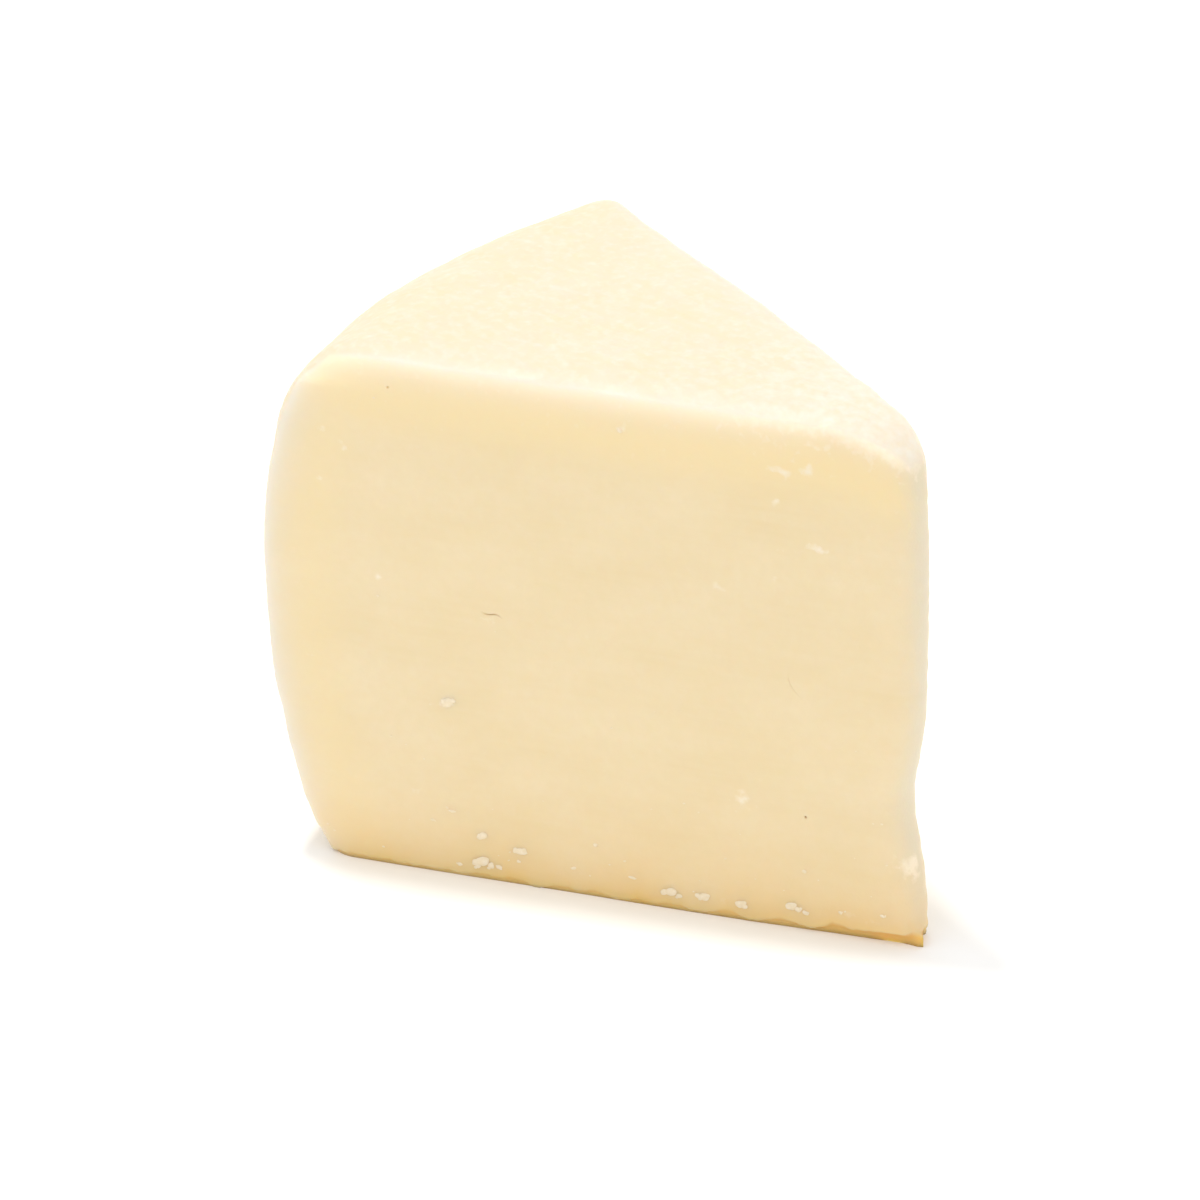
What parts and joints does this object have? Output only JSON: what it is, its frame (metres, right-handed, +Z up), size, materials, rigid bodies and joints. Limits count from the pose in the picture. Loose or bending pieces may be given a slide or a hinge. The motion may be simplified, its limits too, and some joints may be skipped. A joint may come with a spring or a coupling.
{
  "type": "pecorino cheese wedge",
  "caption": "Wedge cut from a small pressed wheel of pale sheep's milk cheese, standing on its bottom rind, with softly rounded edges, a bellied heel and a worn tip.",
  "frame": {"origin": "on the surface that the wedge stands on, on the middle line between its two cuts", "axes": "+X runs from the heel to the tip, +Z is up, and the smooth cut faces -Y"},
  "size_m": [0.1024, 0.0753, 0.087],
  "materials": {
    "cheese": "pale cream-yellow pressed cheese paste, slightly waxy and translucent, with a paler natural rind"
  },
  "bodies": {
    "root": {"wedge": "cheese"}
  },
  "joints": []
}
